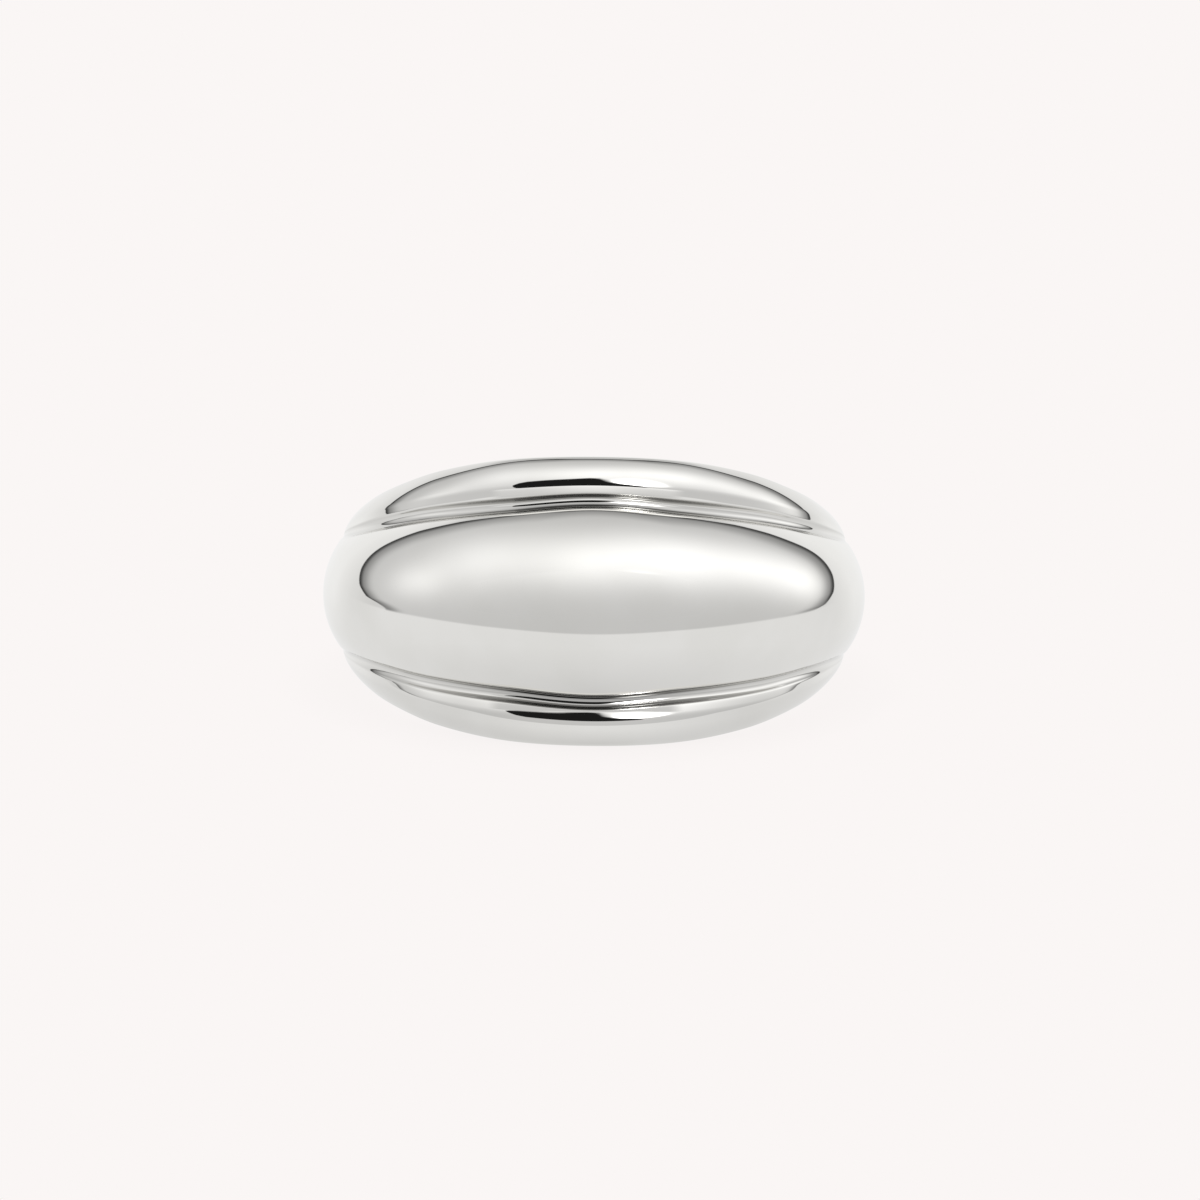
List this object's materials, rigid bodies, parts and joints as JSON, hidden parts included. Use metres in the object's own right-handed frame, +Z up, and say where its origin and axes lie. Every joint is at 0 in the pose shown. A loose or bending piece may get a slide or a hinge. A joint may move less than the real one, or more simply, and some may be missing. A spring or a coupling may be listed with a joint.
{
  "type": "dome ring",
  "caption": "Polished cast finger ring: a smooth dome between side rails and fine grooves at the front, tapering to a plain narrow shank at the back.",
  "frame": {"origin": "on the surface that the ring lies on, under the middle of its bounding box", "axes": "+Z up from the surface; the dome faces -Y and the shank is at +Y; +X is to the wearer's side. The ring lies on its side as it rests by itself, so the finger hole's axis leans about 11.7 degrees from +Z towards +Y"},
  "size_m": [0.0216, 0.0222, 0.0111],
  "materials": {
    "polished_silver": "mirror polish"
  },
  "bodies": {
    "root": {"ring": "polished_silver"}
  },
  "joints": []
}
